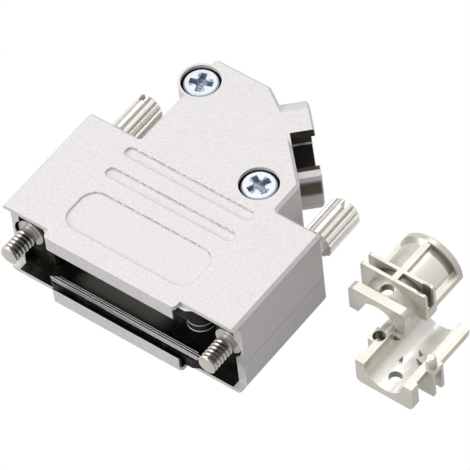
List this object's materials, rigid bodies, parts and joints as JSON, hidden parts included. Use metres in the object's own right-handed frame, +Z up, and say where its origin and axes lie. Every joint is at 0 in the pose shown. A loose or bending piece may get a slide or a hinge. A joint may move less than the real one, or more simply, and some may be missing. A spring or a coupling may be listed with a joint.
{
  "type": "d-sub hood",
  "caption": "Metal hood for a D connector with a slanted cable exit, captive jackscrews and a split cable clamp laid beside it.",
  "frame": {"origin": "middle of the mating face, on the plane of the two jackscrews", "axes": "+X along the connector towards the side that the cable exit leans to, +Y from the mating face back towards the cable, +Z up from the lower shell to the upper shell"},
  "size_m": [0.0604, 0.0427, 0.0138],
  "materials": {
    "blasted_casting": "fine blasted, satin",
    "zinc_plated_steel": "bright zinc plate",
    "nickel_plated_steel": "nickel plate",
    "spring_steel": "plain spring steel",
    "clamp_casting": "as cast, satin"
  },
  "bodies": {
    "hood": {"upper_shell": "blasted_casting", "lower_shell": "blasted_casting", "rear_assembly_screw": "zinc_plated_steel", "front_assembly_screw": "zinc_plated_steel", "lower_clamp_half": "clamp_casting", "upper_clamp_half": "clamp_casting"},
    "left_clip": {"left_retaining_clip": "spring_steel"},
    "left_screw": {"left_jackscrew": "nickel_plated_steel"},
    "right_clip": {"right_retaining_clip": "spring_steel"},
    "right_screw": {"right_jackscrew": "nickel_plated_steel"}
  },
  "joints": [
    {"name": "left_jackscrew_slide", "type": "slide", "parent": "hood", "child": "left_clip", "axis": [0, -1, 0], "range_m": [0, 0.002]},
    {"name": "left_jackscrew_turn", "type": "hinge", "parent": "left_clip", "child": "left_screw", "pos_m": [-0.01665, 0, 0], "axis": [0, 1, 0], "continuous": true},
    {"name": "right_jackscrew_slide", "type": "slide", "parent": "hood", "child": "right_clip", "axis": [0, -1, 0], "range_m": [0, 0.002]},
    {"name": "right_jackscrew_turn", "type": "hinge", "parent": "right_clip", "child": "right_screw", "pos_m": [0.01665, 0, 0], "axis": [0, 1, 0], "continuous": true}
  ]
}
